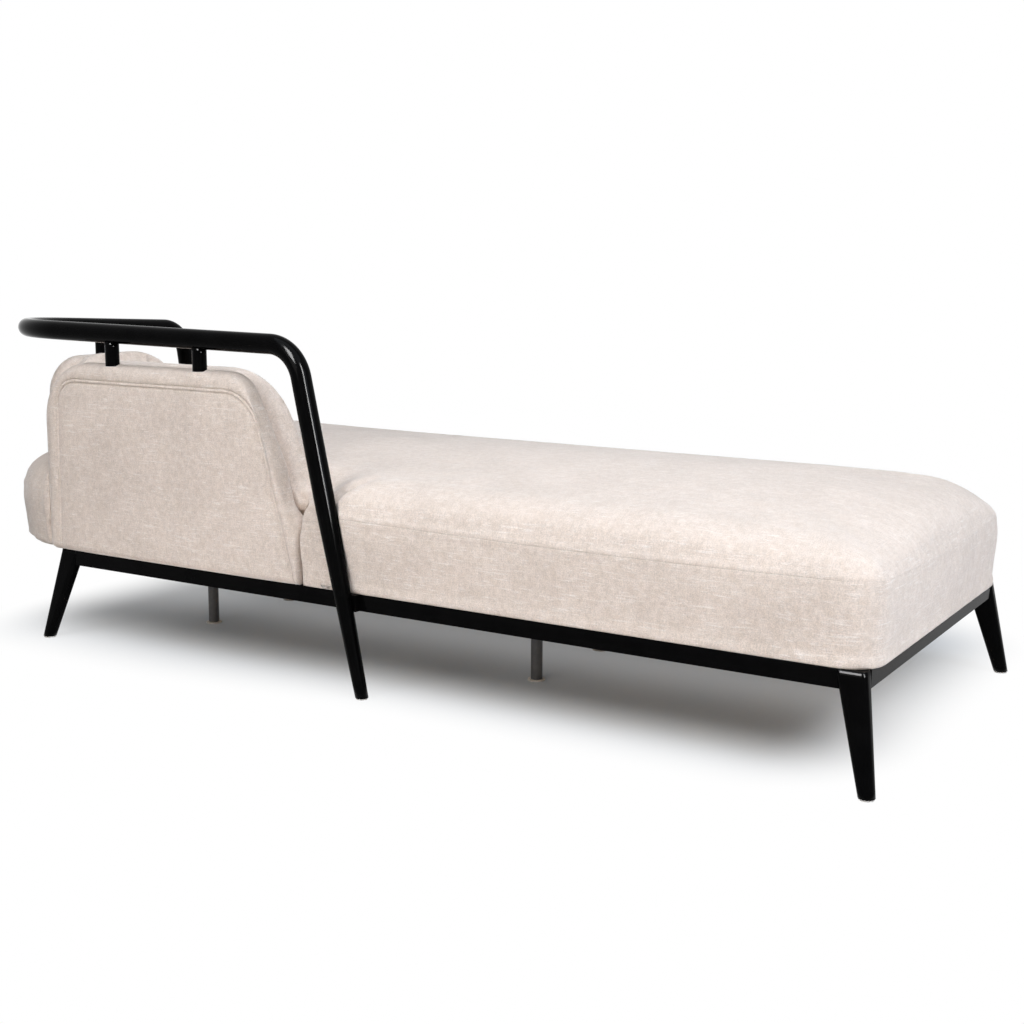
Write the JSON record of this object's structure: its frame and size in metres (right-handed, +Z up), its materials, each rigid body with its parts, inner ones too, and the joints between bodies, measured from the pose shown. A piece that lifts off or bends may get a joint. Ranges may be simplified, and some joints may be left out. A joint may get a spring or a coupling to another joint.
{
  "type": "chaise longue",
  "caption": "Low upholstered chaise longue on a black tapered-leg frame, with back panels at the head end and a bent handrail running round them.",
  "frame": {"origin": "middle of the whole object's box, on the floor", "axes": "+X along the length towards the foot end, +Y across towards the open long side, +Z up"},
  "size_m": [2.2114, 0.8934, 0.7078],
  "materials": {
    "black_lacquer": "gloss black lacquer",
    "upholstery": "slubby flat-woven linen blend",
    "glide_plastic": "matte",
    "support_plastic": "satin dark grey",
    "plywood": "bare board"
  },
  "bodies": {
    "root": {"centre_glide_far_1": "glide_plastic", "centre_glide_far_3": "glide_plastic", "centre_glide_near_1": "glide_plastic", "centre_glide_near_3": "glide_plastic", "centre_support_far_1": "support_plastic", "centre_support_far_3": "support_plastic", "centre_support_near_1": "support_plastic", "centre_support_near_3": "support_plastic", "cross_bearer_1": "black_lacquer", "cross_bearer_2": "black_lacquer", "cross_bearer_3": "black_lacquer", "cross_bearer_4": "black_lacquer", "far_foot_corner_leg": "black_lacquer", "far_foot_leg_glide": "glide_plastic", "far_frame_rail": "black_lacquer", "far_head_corner_leg": "black_lacquer", "far_head_leg_glide": "glide_plastic", "foot_frame_rail": "black_lacquer", "handrail_corner_bend": "black_lacquer", "handrail_head_elbow": "black_lacquer", "handrail_head_glide": "glide_plastic", "handrail_head_leg": "black_lacquer", "handrail_head_run": "black_lacquer", "handrail_near_elbow": "black_lacquer", "handrail_near_glide": "glide_plastic", "handrail_near_leg": "black_lacquer", "handrail_near_run": "black_lacquer", "head_arm_far": "black_lacquer", "head_arm_near": "black_lacquer", "head_back_pad": "upholstery", "head_back_shell": "upholstery", "head_cross_bar": "black_lacquer", "head_frame_rail": "black_lacquer", "head_leg_mount_block": "black_lacquer", "head_post": "black_lacquer", "near_back_pad": "upholstery", "near_back_shell": "upholstery", "near_foot_corner_leg": "black_lacquer", "near_foot_leg_glide": "glide_plastic", "near_frame_rail": "black_lacquer", "near_head_corner_leg": "black_lacquer", "near_head_leg_glide": "glide_plastic", "near_leg_mount_block": "black_lacquer", "near_post_foot_side": "black_lacquer", "near_post_head_side": "black_lacquer", "seat_cushion": "upholstery", "seat_deck_board": "plywood"}
  },
  "joints": []
}
